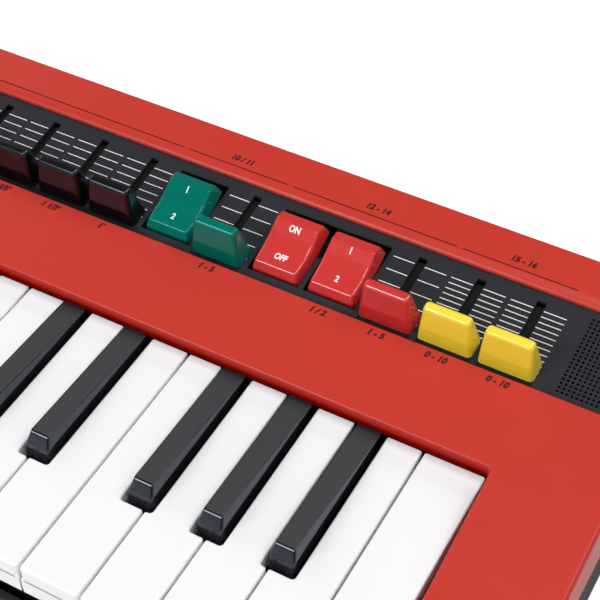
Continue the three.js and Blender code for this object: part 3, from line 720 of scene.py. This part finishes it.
def stripCells():
    # a grid of lines at every slot, opening and grille edge; the cells inside one are left out
    # and their borders get walls down to the plate's underside
    pitch = strip["grillePitch"]
    low = strip["grilleFirst"] - pitch[0] / 2
    high = low + pitch[0] * strip["grilleColumns"]
    near = strip["grilleRear"] - pitch[1] * (strip["grilleRows"] - 0.5)
    far = strip["grilleRear"] + pitch[1] / 2
    half, radius = strip["slotWidth"] / 2, strip["boreRadius"]
    slot = (strip["slotFront"], strip["slotRear"])
    holes = [(x - half, x + half) + slot
             for x in footageX + [controlX[name] for name in levers]]
    half = strip["openingWidth"] / 2
    holes += [(controlX[name] - half, controlX[name] + half, strip["openingFront"],
               strip["openingRear"]) for name in rockers]
    between = [controlX["percussionRocker"] + half - overlap,
               controlX["typeRocker"] - half + overlap]
    holes.append((*between, strip["dividerEnd"], strip["openingRear"]))
    knob, middle = controlX["knob"], sum(slot) / 2
    holes.append((knob - radius, knob + radius, middle - radius, middle + radius))
    grilles = [(low, high, near, far), (-high, -low, near, far)]
    edge = strip["halfWidth"]
    front = caseShape["stripFront"] - strip["margin"]
    rear = caseShape["stripRear"] + caseShape["stripRearRun"] + strip["margin"]
    xs = np.unique(np.round([-edge, edge] + [v for h in holes + grilles for v in h[:2]], 4))
    ts = np.unique(np.round([front, rear] + [v for h in holes + grilles for v in h[2:]], 4))
    middleX, middleT = (xs[1:] + xs[:-1]) / 2, (ts[1:] + ts[:-1]) / 2

    def outside(places):
        free = np.ones((len(middleX), len(middleT)), bool)
        for x0, x1, t0, t1 in places:
            free &= ~(((middleX > x0) & (middleX < x1))[:, None]
                      & ((middleT > t0) & (middleT < t1)))
        return free

    walled = outside(holes)
    solid = walled & outside(grilles)
    points = np.stack(np.meshgrid(xs, ts, [0.0, -strip["thickness"]], indexing="ij"), axis=-1)
    index = np.arange(points[..., 0].size).reshape(points.shape[:3])
    column, row = np.nonzero(solid)
    faces = [np.stack([index[column + a, row + b, level] for a, b in cell], axis=1)
             for level, cell in ((0, ((0, 0), (1, 0), (1, 1), (0, 1))),
                                 (1, ((0, 0), (0, 1), (1, 1), (1, 0))))]
    framed = np.pad(walled, 1)
    for (dx, dt), (a, b) in (((-1, 0), ((0, 1), (0, 0))), ((1, 0), ((1, 0), (1, 1))),
                             ((0, -1), ((0, 0), (1, 0))), ((0, 1), ((1, 1), (0, 1)))):
        beside = np.roll(framed, (-dx, -dt), (0, 1))[1:-1, 1:-1]
        column, row = np.nonzero(walled & ~beside)
        p = index[column + a[0], row + a[1]]
        q = index[column + b[0], row + b[1]]
        faces.append(np.stack([p[:, 0], p[:, 1], q[:, 1], q[:, 0]], axis=1))
    return points.reshape(-1, 3), np.concatenate(faces).tolist()


def makeStrip():
    points, faces = merged([stripCells(), grilleCells(-1), grilleCells(1)])
    addPiece("controlStrip", (onDeck(points), faces), "blackStrip", "case",
             ["control_panel"], 30)
    # a board deep under the openings and a cloth under each grille
    addPiece("dustSheet", spanMesh(keyboardHalf, *strip["dustSheet"], onDeck), "rubber", "case")
    inner, outer, near, far, low, high = strip["grilleCloth"]
    for name, x0, x1 in (("grilleClothLeft", -outer, -inner), ("grilleClothRight", inner, outer)):
        cloth = blockMesh((x0, near, low), (x1, far, high), onDeck)
        addPiece(name, cloth, "dustCloth", "case")


makeStrip()
print("stage: strip and grilles")

# Printed lines and numbers, and dark bands painted as the levers' shadow on the strip
ink = {
    "dashWidth": 0.3,
    "dashInner": 1.8,
    "dashOuter": 9.4,
    "raise": 0.03,
    "sunk": 0.02,
    "rows": {"footage": [57.42 - 3.391 * row for row in range(7)],
             "depth": [57.9, 52.5, 47.2, 41.9, 36.5],
             "effect": [57.96 - 2.173 * row for row in range(11)]},
    # painted shadow in front of the levers: near and far t, half width at a lever, reach past the
    # outer footage levers
    "paintedShadowBand": (29.4, 33.0, 9.2, 10.2),
    "ruleWidth": 0.3,
    "ruleT": 68.2,
    "ruleMargin": 9.4,
    "footageRuleEnd": 82.7,
    "ruleSpans": [(84.8, 123.5), (125.8, 185.8), (187.9, 227.3)],
    "labelT": 26.6,
    "labelHeight": 2.15,
    "rearLabelT": 71.4,
    "slant": 0.2,
    "bold": 0.15,
    "markBold": 0.12,
    "footages": ["16'", "5 1/3'", "8'", "4'", "2 2/3'", "2'", "1 3/5'", "1 1/3'", "1'"],
    "settings": {"octaveLever": "1 - 5", "volumeLever": "0 - 10", "knob": "1 - 7",
                 "rotaryLever": "1 - 5", "depthLever": "1 - 5", "typeRocker": "1 / 2",
                 "lengthLever": "1 - 5", "driveLever": "0 - 10", "reverbLever": "0 - 10"},
    "sections": ["1 - 9", "10 / 11", "12 - 14", "15 - 16", "17 - 20"],
}
boxFaces = np.array([[0, 3, 2, 1], [4, 5, 6, 7], [0, 1, 5, 4], [1, 2, 6, 5], [2, 3, 7, 6],
                     [3, 0, 4, 7]])


def printedQuads(name, quads, finish, n):
    # thin raised boxes on flat quads of (x, t) corners: one array of eight corners per box
    points = np.concatenate([np.concatenate([quads, np.full(quads.shape[:2] + (1,), z)], axis=2)
                             for z in (n - ink["sunk"], n + ink["raise"])], axis=1)
    faces = (np.arange(len(quads))[:, None, None] * 8 + boxFaces[None]).reshape(-1, 4)
    addPiece(name, (onDeck(points), faces.tolist()), finish, "case")


def printedBars(name, bars, finish, n):
    # each bar is (x0, x1, t0, t1)
    bars = np.array(bars, float)
    quads = np.stack([bars[:, [0, 2]], bars[:, [1, 2]], bars[:, [1, 3]], bars[:, [0, 3]]], axis=1)
    printedQuads(name, quads, finish, n)


def letters(text, height, slant, bold):
    # the outline of a short text as a thin closed mesh: (points in mm, faces), centred
    curve = bpy.data.curves.new("letters", "FONT")
    curve.body = text
    curve.size = height * mm / 0.7
    curve.align_x = "CENTER"
    curve.align_y = "CENTER"
    curve.shear = slant
    curve.offset = bold * mm
    curve.extrude = ink["raise"] * mm
    curve.resolution_u = 3
    mesh = baked(linked("letters", curve))
    points = valuesOf(mesh.vertices, "co") / mm
    faces = [list(polygon.vertices) for polygon in mesh.polygons]
    bpy.data.meshes.remove(mesh)
    return points, faces


def makePrint():
    inner, outer, half = ink["dashInner"], ink["dashOuter"], ink["dashWidth"] / 2
    rows = [(x, "footage") for x in footageX]
    rows += [(controlX[name], settings[3]) for name, settings in levers.items()]
    bars = [(x + a, x + b, t - half, t + half) for x, kind in rows for t in ink["rows"][kind]
            for a, b in ((-outer, -inner), (inner, outer))]
    printedBars("levelDashes", bars, "whiteInk", 0.0)
    # dark bands painted as the shadow at the levers' feet, in the dark tail finish
    near, far, wide, end = ink["paintedShadowBand"]
    bars = [(controlX[name] - wide, controlX[name] + wide, near, far) for name in levers]
    bars.append((footageX[0] - end, footageX[-1] + end, near, far))
    printedBars("paintedShadowBands", bars, "keyTail", 0.0)
    t, half, margin = ink["ruleT"], ink["ruleWidth"] / 2, ink["ruleMargin"]
    spans = [(footageX[0] - margin, ink["footageRuleEnd"])] + ink["ruleSpans"]
    spans.append((controlX["octaveLever"] - margin, controlX["rotaryLever"] + margin))
    deckTop = organ["stripDepth"]
    printedBars("sectionRules", [(a, b, t - half, t + half) for a, b in spans], "darkInk",
                deckTop)
    words = [(text, x, ink["labelT"]) for text, x in zip(ink["footages"], footageX)]
    words += [(text, controlX[name], ink["labelT"]) for name, text in ink["settings"].items()]
    words += [(text, (a + b) / 2, ink["rearLabelT"])
              for text, (a, b) in zip(ink["sections"], spans)]
    parts = []
    for text, x, t in words:
        points, faces = letters(text, ink["labelHeight"], ink["slant"], ink["bold"])
        parts.append((points + np.array([x, t, deckTop]), faces))
    points, faces = merged(parts)
    addPiece("deckNumbers", (onDeck(points), faces), "darkInk", "case")


makePrint()
print("stage: printed lines and numbers")

# Levers, rockers and knob; the crest corner is where the sides' lean is measured
cap = {
    "rest": 36.8,
    "width": 18.6,
    "corners": [(-4.9, 0.3), (3.9, 0.3), (0.85, 14.45), (-2.45, 14.45), (-4.2, 6.0)],
    "rounds": [0.2, 0.2, 1.4, 1.6, 1.0],
    "crestCorner": 2,
    "sideLean": 1.5,
    "sideRound": 1.5,
    "stem": (2.3, 4.4, 1.8, 6.5),
    "ribbon": (2.6, 12.3, 60.6, -2.2, -2.4),
}
rocker = {
    "pivot": 46.1,
    "pivotRise": 0.45,
    "tilt": math.radians(15.5),
    "corners": [(-12.0, -2.5), (11.2, -2.5), (10.6, 2.3), (7.2, 4.43), (0.0, 2.85),
                (-8.9, 4.8), (-11.4, 2.9)],
    "rounds": [0.5, 0.5, 0.8, 1.1, 14.0, 1.1, 0.8],
    "crestCorner": 3,
    "valleyCorner": 4,
    "width": 18.4,
    "sideLean": 1.4,
    "sideRound": 1.1,
    "letterPlace": 5.2,
    "letterHeight": 2.2,
    "letterWidth": 0.82,
}


def makeLever(name, x, finish, body):
    # the cap, its flat stem and the dust ribbon that slides with it under the slot
    rings, faces = sweptAcross(cap, 6, 2)
    top = plainMesh("cap", onDeck(rings + np.array([x, cap["rest"], 0.0])), faces)
    width, length, forward, reach = cap["stem"]
    front = cap["rest"] - forward
    stem = blockMesh((x - width / 2, front, -reach), (x + width / 2, front + length, 1.0), onDeck)
    addPiece(name, [top, stem], finish, body, [body], 34)
    half, near, far, high, low = cap["ribbon"]
    ribbon = blockMesh((x - half, near, low), (x + half, far, high), onDeck)
    addPiece(name + "Ribbon", ribbon, "keyTail", body)


def makeRocker(name, x, finish, body, marks):
    shape = rocker

    def placed(points):
        # the paddle's own (x, y, z) tilted about its pivot: y and z turn by the tilt
        cosine, sine = math.cos(shape["tilt"]), math.sin(shape["tilt"])
        t, n = points[..., 1], points[..., 2]
        return onDeck(np.stack([points[..., 0] + x, shape["pivot"] + t * cosine - n * sine,
                                shape["pivotRise"] + t * sine + n * cosine], axis=-1))

    rings, faces = sweptAcross(shape, 10)
    addPiece(name, (placed(rings), faces), finish, body, [body], 34)
    # a mark on each half, laid on its slope
    (crestY, crest), (_, valley) = (shape["corners"][shape[key]]
                                    for key in ("crestCorner", "valleyCorner"))
    parts = []
    for side, text in zip((1, -1), marks):
        flat, sides = letters(text, shape["letterHeight"], 0.0, ink["markBold"])
        t = side * shape["letterPlace"] + flat[:, 1]
        height = valley + np.abs(t) * (crest - valley) / crestY + flat[:, 2]
        parts.append((np.column_stack([flat[:, 0] * shape["letterWidth"], t, height]), sides))
    points, faces = merged(parts)
    addPiece(name + "Marks", (placed(points), faces), "whiteInk", body)


for order, x in enumerate(footageX):
    makeLever(f"footageCap{order + 1}", x, "blackCap", f"footage_lever_{order + 1}")
for name, (body, finish, slot, rows) in levers.items():
    makeLever(name + "Cap", controlX[name], finish, body)
for name, (body, finish, slot, marks) in rockers.items():
    makeRocker(name + "Paddle", controlX[name], finish, body, marks)
print("stage: levers and rockers")

selector = {
    "profile": [  # radius, height and share of the flutes' depth
        (3.0, -6.5, 0), (3.0, 0.3, 0), (8.0, 0.3, 0), (8.2, 0.5, 0), (8.2, 2.1, 0),
        (8.1, 2.32, 0), (7.8, 2.4, 0), (7.35, 2.5, 0), (7.0, 2.75, 0.3), (6.85, 3.3, 1),
        (6.6, 9.8, 1), (6.5, 10.56, 0.6), (6.2, 10.88, 0.1), (5.8, 11.0, 0), (5.4, 10.85, 0)],
    "flutes": 18,
    "fluteDepth": 0.28,
    "place": 47.9,
    "pointer": ((-0.35, 1.0, 10.8), (0.35, 6.0, 11.35)),
    "dialRadii": (9.3, 10.9),
    "dialTurns": (-60, 61, 20),
}


def makeKnob():
    # a lathe profile whose radius on the grip dips by the flutes' cosine as it goes round
    shape = selector
    place = np.array([controlX["knob"], shape["place"], 0.0])
    radius, height, fluted = np.array(shape["profile"]).T
    steps = 144
    cosine, sine = unitCircle(steps)
    wave = (0.5 - 0.5 * np.cos(np.arange(steps) / steps * 2 * math.pi * shape["flutes"])) ** 2
    arm = radius[:, None] - shape["fluteDepth"] * fluted[:, None] * wave[None, :]
    rings = np.stack([arm * cosine, arm * sine, np.broadcast_to(height[:, None], arm.shape)],
                     axis=-1) + place
    addPiece("selectorKnob", (onDeck(rings), ringFaces(*rings.shape[:2])), "blackCap",
             "wave_selector_knob", ["wave_selector_knob"], 40)
    pointer = blockMesh(*(place + corner for corner in shape["pointer"]), onDeck)
    addPiece("selectorPointer", pointer, "whiteInk", "wave_selector_knob")
    turn = np.radians(np.arange(*shape["dialTurns"]))
    near, far = (np.stack([np.sin(turn), np.cos(turn)], axis=1) * arm
                 for arm in shape["dialRadii"])
    across = np.stack([np.cos(turn), -np.sin(turn)], axis=1) * ink["dashWidth"] / 2
    quads = np.stack([near - across, near + across, far + across, far - across], axis=1)
    printedQuads("selectorDial", quads + place[:2], "whiteInk", 0.0)


makeKnob()
print("stage: selector")

# Keys
keys = {
    "frontY": -86.0,
    "frontRound": 1.2,
    "tailEnd": 55.0,
    "pastLine": 1.1,
    "gap": 0.8,
    "plate": 6.0,
    "skirt": 12.0,
    "skirtThickness": 3.0,
    "tailDrop": 2.5,
    "edge": 0.7,
    "corner": 0.7,
    "notchCorner": 1.1,
    "notchLength": 57.1,
    "notchHalf": 5.5,
}
blackKeys = {
    "half": 4.1,
    "topHalf": 3.25,
    "topHeight": 6.1,
    "shoulder": 2.4,
    "baseLength": 55.3,
    "topLength": 52.1,
    "frontEdge": 0.9,
    "cornerEdge": 0.7,
    "longEdge": 0.3,
    "flatNormal": 0.985,
}
blackSpread = {0: -1.5, 1: 1.5, 3: -3.0, 4: 0.0, 5: 3.0}
noteNames = ["c", "d", "e", "f", "g", "a", "b"]


def seam(index):
    return -keyboardHalf + (index + 1) * organ["keyPitch"]


def blackBeside(index):
    return blackSpread.get(index % 7) if 0 <= index < organ["whiteKeys"] - 1 else None


def tailMesh(x0, x1, start):
    # the lower rear part that runs under the deck
    low = organ["keyTop"] - keys["plate"] - keys["tailDrop"]
    return blockMesh((x0, start, low), (x1, keys["tailEnd"], organ["keyTop"] - keys["tailDrop"]))


def setFinishes(mesh, names, own):
    # one material for each name, and every face's own number among them
    mesh.materials.clear()
    for name in names:
        mesh.materials.append(materials[name])
    mesh.polygons.foreach_set("material_index", own.astype(np.int32))


def makeWhiteKey(index):
    # the key's plan raised from the plate's underside, with rings that turn in at the top edge,
    # then a skirt under the front and a lower tail that runs under the deck
    shape = keys
    line, top, front = organ["keyLineY"], organ["keyTop"], shape["frontY"]
    left, right = seam(index - 1) + shape["gap"] / 2, seam(index) - shape["gap"] / 2
    notch, rear = line - shape["notchLength"], line + shape["pastLine"]
    before, after = blackBeside(index - 1), blackBeside(index)
    inLeft = left if before is None else seam(index - 1) + before + shape["notchHalf"]
    inRight = right if after is None else seam(index) + after - shape["notchHalf"]
    outer, inner = shape["corner"], shape["notchCorner"]
    corners, radii = [(left, front), (right, front)], [shape["frontRound"]] * 2
    if after is not None:
        corners += [(right, notch), (inRight, notch)]
        radii += [outer, inner]
    corners += [(inRight, rear), (inLeft, rear)]
    radii += [outer, outer]
    if before is not None:
        corners += [(inLeft, notch), (left, notch)]
        radii += [inner, outer]
    insets, down = quarterTurn(shape["edge"], 5)
    low = top - shape["plate"]
    body = stackedMesh("key", [roundedLoop(corners, radii, inset, 5)
                               for inset in np.append(0.0, insets)], np.append(low, top - down))
    skirt = blockMesh((left, front, top - shape["skirt"]),
                      (right, front + shape["skirtThickness"], low + 0.5))
    number = f"{index + 1:02d}"
    node = f"white_key_{number}_{noteNames[index % 7]}"
    mesh = joined(f"whiteKey{number}", [body, skirt, tailMesh(inLeft, inRight, rear - 3.0)])
    own = np.arange(len(mesh.polygons)) >= len(mesh.polygons) - len(boxFaces)
    setFinishes(mesh, ("whiteKey", "keyTail"), own)
    addPiece(f"whiteKey{number}", mesh, "whiteKey", node, [node], 34)


def makeBlackKey(index, order):
    # Upright sides up to the shoulder, then a facet on each side that grows to the front, where
    # the top is higher and narrower, and a sloping front face. Each kind of edge has its own
    # bevel, as a share of the widest.
    shape = blackKeys
    line, top = organ["keyLineY"], organ["keyTop"]
    half, small = shape["half"], shape["topHalf"]
    low, shoulder = top - keys["plate"], top + shape["shoulder"]
    high, rear = top + shape["topHeight"], line + 1.0
    front, crest = line - shape["baseLength"], line - shape["topLength"]
    rise = shape["shoulder"] / shape["topHeight"]
    side = [(half, front, low), (half, front, top),
            (half, front + rise * (crest - front), shoulder), (small, crest, high),
            (half, rear, shoulder), (half, rear, low)]
    x = seam(index) + blackBeside(index)
    points = np.array([(x + sign * a, b, c) for sign in (1, -1) for a, b, c in side])
    faces = [[0, 5, 4, 2, 1], [2, 4, 3], [7, 8, 10, 11, 6], [8, 9, 10]]
    faces += [[a + 6, a, (a + 1) % 6, (a + 1) % 6 + 6] for a in range(6)]
    mesh = plainMesh("keyBody", points * mm, faces)
    widths = {frozenset((3, 9)): shape["frontEdge"]}
    for kind, edges in (("longEdge", ((3, 4), (2, 4))), ("cornerEdge", ((2, 3), (1, 2), (0, 1)))):
        widths.update({frozenset((a + side, b + side)): shape[kind]
                       for a, b in edges for side in (0, 6)})
    # the points are told apart by their places, because merging may have changed their order
    gap = np.abs(valuesOf(mesh.vertices, "co")[:, None] / mm - points[None]).sum(axis=2)
    own, widest = gap.argmin(axis=1), shape["frontEdge"]
    share = [widths.get(frozenset((int(own[a]), int(own[b]))), 0.0) / widest
             for a, b in (edge.vertices for edge in mesh.edges)]
    weight = mesh.attributes.new("bevel_weight_edge", "FLOAT", "EDGE")
    weight.data.foreach_set("value", np.array(share, np.float32))
    carrier = linked("keyBody", mesh)
    bevel = carrier.modifiers.new("edges", "BEVEL")
    bevel.limit_method = "WEIGHT"
    bevel.width = widest * mm
    bevel.segments = 4
    number = f"{order:02d}"
    node = f"black_key_{number}_{noteNames[index % 7]}_sharp"
    mesh = joined(f"blackKey{number}", [baked(carrier), tailMesh(x - half, x + half, line - 2)])
    flat = (valuesOf(mesh.polygons, "normal")[:, 2] > shape["flatNormal"]) \
        & (valuesOf(mesh.polygons, "center")[:, 2] > top * mm)
    setFinishes(mesh, ("blackKeySide", "blackKeyTop"), flat)
    addPiece(f"blackKey{number}", mesh, "blackKeySide", node, [node], 34)


blackOrder = 0
for index in range(organ["whiteKeys"]):
    makeWhiteKey(index)
    if blackBeside(index) is not None:
        blackOrder += 1
        makeBlackKey(index, blackOrder)
print("stage: keys")

# Dark base with its feet, sockets and screws; profiles are (radius, height) points
base = {
    "floor": 2.4,
    "footRound": 1.6,
    "frontWallTop": 17.0,
    "rail": (-81.5, -79.0, 23.5),
    "seat": (46.0, 55.0, 27.7),
    "seatWall": 2.0,
    "bayHalf": 125.0,
    "bay": (7.0, 20.0),
    "bayDepth": 1.6,
    "blockDepth": 7.0,
    "holeDepth": 3.4,
    "sockets": [3.3, 3.3, 3.3, 3.3, 1.9, 4.4, 2.8, 3.3],
    "nutSizes": (3.0, 4.0),
    "collar": [(0.0, -1.0), (0.0, 0.5), (0.2, 0.75), (1.2, 0.75), (1.5, 0.45), (1.5, -0.3),
               (1.5, -1.0)],
    "footInset": 26.0,
    "footProfile": [(8.0, 3.2), (8.0, 0.9), (7.75, 0.35), (7.1, 0.0), (5.8, 0.0), (5.5, 0.25),
                    (0.3, 0.25)],
    "hatch": (-150.0, -10.0, -42.0, 26.0),
    "hatchGroove": (0.7, 0.5),
    "screws": [(-235.0, 31.5), (-160.0, 70.0), (-60.0, 70.0), (60.0, 70.0), (160.0, 70.0),
               (235.0, 31.5)],
    "screwProfile": [(2.6, 2.9), (2.6, 2.35), (2.1, 1.85), (0.2, 1.7)],
    "screwCross": (1.4, 0.25, 0.6, 2.25),
    "speakerPlace": (247.15, 52.0),
    "speakerProfile": [(0.2, 4.0), (13.0, 4.0), (13.0, 45.1), (11.5, 45.1), (4.0, 38.1),
                       (0.2, 39.6)],
}


def latheMesh(name, profile, steps, place, upward=True, hollow=False):
    # (radius, height) points carried round an axis at the place, along +Z or else along +Y;
    # the ends are closed, or where it is hollow the last point goes back to the first
    profile = np.array(profile, float)
    cosine, sine = unitCircle(steps)
    across, along = profile[:, :1] * cosine, profile[:, :1] * sine
    height = np.broadcast_to(profile[:, 1:], across.shape)
    parts = [across, along, height] if upward else [across, height, -along]
    rings = np.stack(parts, axis=-1) + np.array(place)
    count = len(profile)
    faces = (ringQuads(count + 1, steps) % (count * steps)).tolist() if hollow \
        else ringFaces(count, steps)
    return plainMesh(name, rings * mm, faces)


def hatchOutline():
    # a rectangular groove in the floor: its four sides as thin blocks
    x0, x1, y0, y1 = base["hatch"]
    width, depth = base["hatchGroove"]
    low, high = organ["foot"] - overlap, organ["foot"] + depth
    return [blockMesh((a, b, low), (c, d, high)) for a, b, c, d in (
        (x0, y0, x1, y0 + width), (x0, y1 - width, x1, y1),
        (x0, y0 + width / 2, x0 + width, y1 - width / 2),
        (x1 - width, y0 + width / 2, x1, y1 - width / 2))]


def makeBase():
    shape = base
    front, rear = organ["frontY"], organ["rearY"]
    wall, foot, seamZ = caseShape["wall"], organ["foot"], organ["seam"]
    floorTop = foot + shape["floor"]
    bayHalf, jackHalf = caseShape["bayHalf"], shape["bayHalf"]
    tub = levelPrism(0.0, foot, seamZ, 0.0, shape["footRound"])
    core = levelPrism(wall, floorTop, seamZ + beyond, 0.0)
    notch = spanMesh(bayHalf, front - beyond, front + 2 * wall, shape["frontWallTop"],
                     seamZ + beyond + overlap)
    block = spanMesh(jackHalf + wall, rear - shape["blockDepth"], rear - wall / 2,
                     floorTop - overlap, seamZ - organ["seamGap"])
    tub = cutAway(cutAway(tub, [core, notch]), [block], "UNION")
    low, high = shape["bay"]
    sunk, depth, count = rear - shape["bayDepth"], shape["holeDepth"], len(shape["sockets"])
    sockets = [(size, (2 * jackHalf * ((order + 0.5) / count - 0.5), sunk, (low + high) / 2))
               for order, size in enumerate(shape["sockets"])]
    holes = [latheMesh("hole", [(size, -depth), (size, 6.0)], 32, place, False)
             for size, place in sockets]
    jackBay = spanMesh(jackHalf, sunk, rear + beyond, low, high)
    tub = cutAway(tub, [jackBay] + holes + hatchOutline())
    low, thick = floorTop - overlap, shape["seatWall"]
    near, far, top = shape["rail"]
    parts = [tub, spanMesh(keyboardHalf, near, far, low, top)]
    near, far, top = shape["seat"]
    parts += [spanMesh(keyboardHalf, y0, y1, z0, top) for y0, y1, z0 in (
        (near, far, top - thick), (near, near + thick, low), (far - thick, far, low))]
    x, y = shape["speakerPlace"]
    parts += [latheMesh("speaker", shape["speakerProfile"], 48, (side * x, y, 0.0))
              for side in (-1, 1)]
    addPiece("baseTray", parts, "darkBase", "case", ["bottom_case"], 30)

    x, y = organ["halfWidth"] - shape["footInset"], rear - shape["footInset"]
    feet = [latheMesh("foot", shape["footProfile"], 48, (a * x, b * y, 0.0))
            for a in (-1, 1) for b in (-1, 1)]
    addPiece("rubberFeet", feet, "rubber", "case")

    rims, liners = [], []
    least, most = shape["nutSizes"]
    for size, place in sockets:
        collar = np.array(shape["collar"]) + (size, 0.0)
        ring = latheMesh("collar", collar, 40, place, False, True)
        (rims if least < size < most else liners).append(ring)
        inside = np.array([(size - 0.3, 0.1), (size - 0.3, 0.4), (0.9, 0.4), (0.8, 1.4),
                           (0.2, 1.5)]) - (0.0, depth)
        liners.append(latheMesh("socketFloor", inside, 24, place, False))
    addPiece("socketNuts", rims, "steel", "case")
    addPiece("socketLiners", liners, "rubber", "case")

    screws = []
    long, thin, low, high = shape["screwCross"]
    for x, y in [(x, side * y) for x, y in shape["screws"] for side in (-1, 1)]:
        head = latheMesh("screw", shape["screwProfile"], 24, (x, y, 0.0))
        cross = [blockMesh((x - a, y - b, low), (x + a, y + b, high))
                 for a, b in ((long, thin), (thin, long))]
        screws.append(cutAway(head, cross))
    addPiece("caseScrews", screws, "steel", "case")


makeBase()
print("stage: base")

bpy.context.scene.view_settings.view_transform = "Standard"
bpy.context.view_layer.update()
